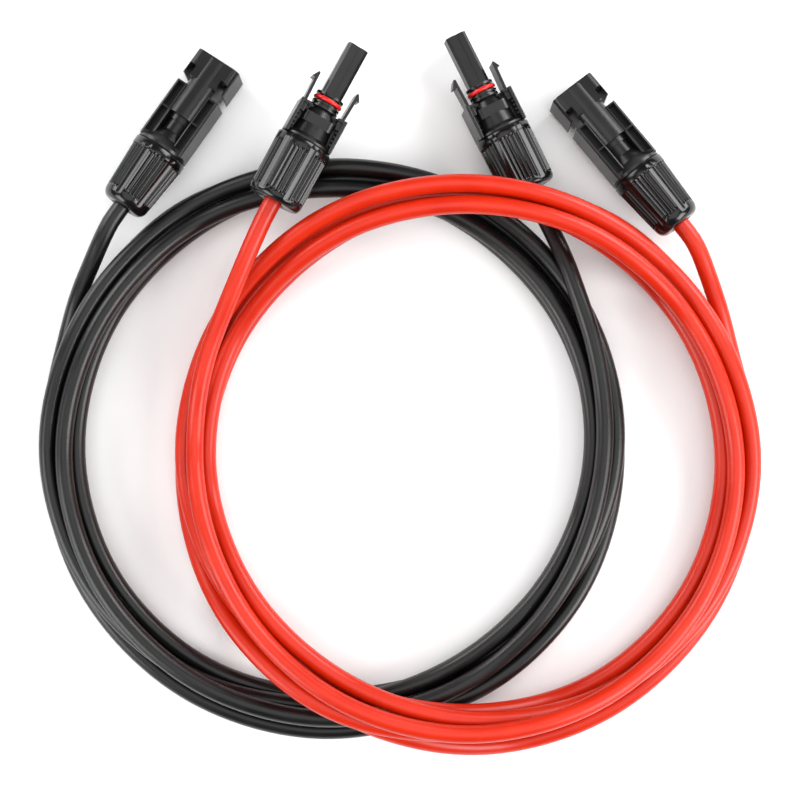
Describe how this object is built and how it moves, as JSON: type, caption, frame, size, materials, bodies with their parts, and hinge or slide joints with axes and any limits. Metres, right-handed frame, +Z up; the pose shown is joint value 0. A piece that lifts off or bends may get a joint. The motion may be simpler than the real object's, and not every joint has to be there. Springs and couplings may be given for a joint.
{
  "type": "solar cable connector",
  "caption": "Two coiled single-core solar extension leads, black and red, each with a latching male and female gland-nut plug on its ends.",
  "frame": {"origin": "bottom centre of the box around the four connectors, on the floor", "axes": "+Z up from the floor; +Y away from the coils, the way the connectors roughly point; +X to the right, from the black lead's male connector to the red lead's"},
  "size_m": [0.2484, 0.2487, 0.037],
  "materials": {
    "black_cable": "satin sheath",
    "red_cable": "satin sheath",
    "housing": "moulded, satin to gloss",
    "tin": "tin-plated copper",
    "strands": "tinned copper strands",
    "band": "plated spring band",
    "oring": "silicone",
    "seal": "soft seal",
    "collet": "moulded"
  },
  "bodies": {
    "black_lead": {"black_cable_male_end": "black_cable", "black_coil": "black_cable", "black_cable_female_end": "black_cable", "black_male_housing": "housing", "black_male_pin": "tin", "black_male_seal": "seal", "black_male_sheath": "black_cable", "black_male_conductor": "strands", "black_female_housing": "housing", "black_female_socket": "tin", "black_female_band": "band", "black_female_oring": "oring", "black_female_seal": "seal", "black_female_sheath": "black_cable", "black_female_conductor": "strands"},
    "black_male_collet": {"black_male_collet": "collet"},
    "black_male_nut": {"black_male_nut": "housing"},
    "black_female_collet": {"black_female_collet": "collet"},
    "black_female_nut": {"black_female_nut": "housing"},
    "black_female_latch_left": {"black_female_latch_left": "housing"},
    "black_female_latch_right": {"black_female_latch_right": "housing"},
    "red_lead": {"red_cable_male_end": "red_cable", "red_coil": "red_cable", "red_cable_female_end": "red_cable", "red_male_housing": "housing", "red_male_pin": "tin", "red_male_seal": "seal", "red_male_sheath": "red_cable", "red_male_conductor": "strands", "red_female_housing": "housing", "red_female_socket": "tin", "red_female_band": "band", "red_female_oring": "oring", "red_female_seal": "seal", "red_female_sheath": "red_cable", "red_female_conductor": "strands"},
    "red_male_collet": {"red_male_collet": "collet"},
    "red_male_nut": {"red_male_nut": "housing"},
    "red_female_collet": {"red_female_collet": "collet"},
    "red_female_nut": {"red_female_nut": "housing"},
    "red_female_latch_left": {"red_female_latch_left": "housing"},
    "red_female_latch_right": {"red_female_latch_right": "housing"}
  },
  "joints": [
    {"name": "red_lead_lift", "type": "slide", "parent": "black_lead", "child": "red_lead", "axis": [0, 0, 1], "range_m": [0, 0.06]},
    {"name": "black_male_collet_slide", "type": "slide", "parent": "black_lead", "child": "black_male_collet", "axis": [0.559, 0.8225, -0.1045], "range_m": [-0.003, 0]},
    {"name": "black_male_nut_turn", "type": "hinge", "parent": "black_male_collet", "child": "black_male_nut", "pos_m": [-0.08891, -0.01707, 0.01276], "axis": [0.559, 0.8225, -0.1045], "range_deg": [-715, 0]},
    {"name": "black_female_collet_slide", "type": "slide", "parent": "black_lead", "child": "black_female_collet", "axis": [-0.4462, 0.8949, 0], "range_m": [-0.003, 0]},
    {"name": "black_female_nut_turn", "type": "hinge", "parent": "black_female_collet", "child": "black_female_nut", "pos_m": [0.03984, -0.01015, 0.0096], "axis": [-0.4462, 0.8949, 0], "range_deg": [-715, 0]},
    {"name": "black_female_latch_left_flex", "type": "hinge", "parent": "black_lead", "child": "black_female_latch_left", "pos_m": [0.02378, 0.00643, 0.01021], "axis": [-0.078, -0.0389, -0.9962], "range_deg": [0, 9], "stiffness_Nm_per_rad": 0.4},
    {"name": "black_female_latch_right_flex", "type": "hinge", "parent": "black_lead", "child": "black_female_latch_right", "pos_m": [0.03626, 0.01265, 0.00899], "axis": [0.078, 0.0389, 0.9962], "range_deg": [0, 9], "stiffness_Nm_per_rad": 0.4},
    {"name": "red_male_collet_slide", "type": "slide", "parent": "red_lead", "child": "red_male_collet", "axis": [-0.6232, 0.7751, -0.1045], "range_m": [-0.003, 0]},
    {"name": "red_male_nut_turn", "type": "hinge", "parent": "red_male_collet", "child": "red_male_nut", "pos_m": [0.08867, -0.02345, 0.01276], "axis": [-0.6232, 0.7751, -0.1045], "range_deg": [-715, 0]},
    {"name": "red_female_collet_slide", "type": "slide", "parent": "red_lead", "child": "red_female_collet", "axis": [0.4784, 0.8774, -0.0349], "range_m": [-0.003, 0]},
    {"name": "red_female_nut_turn", "type": "hinge", "parent": "red_female_collet", "child": "red_female_nut", "pos_m": [-0.03742, -0.01653, 0.02715], "axis": [0.4784, 0.8774, -0.0349], "range_deg": [-715, 0]},
    {"name": "red_female_latch_left_flex", "type": "hinge", "parent": "red_lead", "child": "red_female_latch_left", "pos_m": [-0.03288, 0.0061, 0.02784], "axis": [-0.1989, 0.0696, -0.9776], "range_deg": [0, 9], "stiffness_Nm_per_rad": 0.4},
    {"name": "red_female_latch_right_flex", "type": "hinge", "parent": "red_lead", "child": "red_female_latch_right", "pos_m": [-0.0209, -0.00054, 0.02493], "axis": [0.1989, -0.0696, 0.9776], "range_deg": [0, 9], "stiffness_Nm_per_rad": 0.4}
  ],
  "couplings": [
    {"joint": "black_male_collet_slide", "follows": "black_male_nut_turn", "m_per_rad": 0.00023873},
    {"joint": "black_female_collet_slide", "follows": "black_female_nut_turn", "m_per_rad": 0.00023873},
    {"joint": "red_male_collet_slide", "follows": "red_male_nut_turn", "m_per_rad": 0.00023873},
    {"joint": "red_female_collet_slide", "follows": "red_female_nut_turn", "m_per_rad": 0.00023873}
  ]
}
